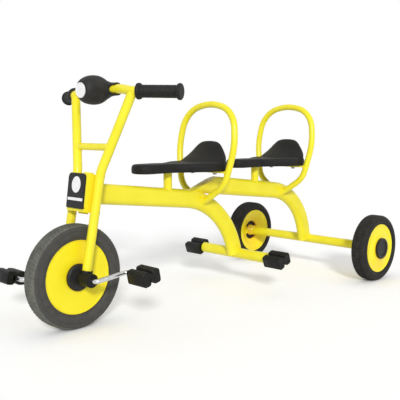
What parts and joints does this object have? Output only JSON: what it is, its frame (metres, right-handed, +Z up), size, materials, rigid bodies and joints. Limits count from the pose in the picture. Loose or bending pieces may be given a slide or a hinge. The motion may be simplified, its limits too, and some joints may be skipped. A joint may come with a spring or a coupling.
{
  "type": "children's tandem tricycle",
  "caption": "Low steel tricycle for a pedalling child and a passenger behind, with hoop backrests, saddles, cranks on the front wheel and foot rests.",
  "frame": {"origin": "on the ground, under the middle of the overall length, on the plane of symmetry", "axes": "+X forward, +Y to the riders' left, +Z up"},
  "size_m": [1.216, 0.5916, 0.6204],
  "materials": {
    "yellow_paint": "gloss powder coat",
    "yellow_plastic": "moulded gloss",
    "tyre_rubber": "solid rubber",
    "black_plastic": "moulded satin",
    "grip_rubber": "ribbed rubber",
    "chrome_steel": "bright plate",
    "black_plate": "gloss",
    "white_badge": "gloss"
  },
  "bodies": {
    "frame": {"front_beam": "yellow_paint", "rear_beam": "yellow_paint", "head_tube": "yellow_paint", "foot_bar": "yellow_paint", "rear_axle_tube": "yellow_paint", "rear_axle": "chrome_steel", "seat_post_front": "yellow_paint", "seat_post_rear": "yellow_paint", "seat_front": "black_plastic", "seat_rear": "black_plastic", "seat_bar_front": "yellow_paint", "seat_bar_rear": "yellow_paint", "hoop_front": "yellow_paint", "hoop_rear": "yellow_paint"},
    "fork": {"fork_leg_left": "yellow_paint", "fork_leg_right": "yellow_paint", "fork_brace": "yellow_paint", "fork_crown": "yellow_paint", "head_plate": "black_plate", "steering_pin": "chrome_steel", "handlebar": "yellow_paint", "grip_left": "grip_rubber", "grip_right": "grip_rubber", "handlebar_pad": "black_plastic", "pad_badge": "white_badge", "bearing_block_left": "black_plastic", "bearing_block_right": "black_plastic"},
    "front_wheel": {"front_tyre": "tyre_rubber", "front_disc": "yellow_plastic", "front_hub_left": "black_plastic", "front_hub_right": "black_plastic", "crank": "chrome_steel"},
    "pedal_left": {"pedal_left": "black_plastic"},
    "pedal_right": {"pedal_right": "black_plastic"},
    "rear_wheel_left": {"rear_tyre_left": "tyre_rubber", "rear_disc_left": "yellow_plastic", "rear_hub_cap_left": "black_plastic"},
    "rear_wheel_right": {"rear_tyre_right": "tyre_rubber", "rear_disc_right": "yellow_plastic", "rear_hub_cap_right": "black_plastic"},
    "foot_rest_left": {"foot_rest_left": "black_plastic"},
    "foot_rest_right": {"foot_rest_right": "black_plastic"}
  },
  "joints": [
    {"name": "steering", "type": "hinge", "parent": "frame", "child": "fork", "pos_m": [0.43905, 0, 0.33228], "axis": [-0.1891, 0, 0.982], "range_deg": [-45, 45]},
    {"name": "front_wheel_spin", "type": "hinge", "parent": "fork", "child": "front_wheel", "pos_m": [0.478, 0, 0.13], "axis": [0, 1, 0], "continuous": true},
    {"name": "pedal_left_spin", "type": "hinge", "parent": "front_wheel", "child": "pedal_left", "pos_m": [0.39725, 0.136, 0.14424], "axis": [0, 1, 0], "continuous": true},
    {"name": "pedal_right_spin", "type": "hinge", "parent": "front_wheel", "child": "pedal_right", "pos_m": [0.55875, -0.136, 0.11576], "axis": [0, 1, 0], "continuous": true},
    {"name": "rear_wheel_left_spin", "type": "hinge", "parent": "frame", "child": "rear_wheel_left", "pos_m": [-0.502, 0.2635, 0.106], "axis": [0, 1, 0], "continuous": true},
    {"name": "rear_wheel_right_spin", "type": "hinge", "parent": "frame", "child": "rear_wheel_right", "pos_m": [-0.502, -0.2635, 0.106], "axis": [0, 1, 0], "continuous": true},
    {"name": "foot_rest_left_spin", "type": "hinge", "parent": "frame", "child": "foot_rest_left", "pos_m": [-0.115, 0.133, 0.107], "axis": [0, 1, 0], "continuous": true},
    {"name": "foot_rest_right_spin", "type": "hinge", "parent": "frame", "child": "foot_rest_right", "pos_m": [-0.115, -0.133, 0.107], "axis": [0, 1, 0], "continuous": true}
  ]
}
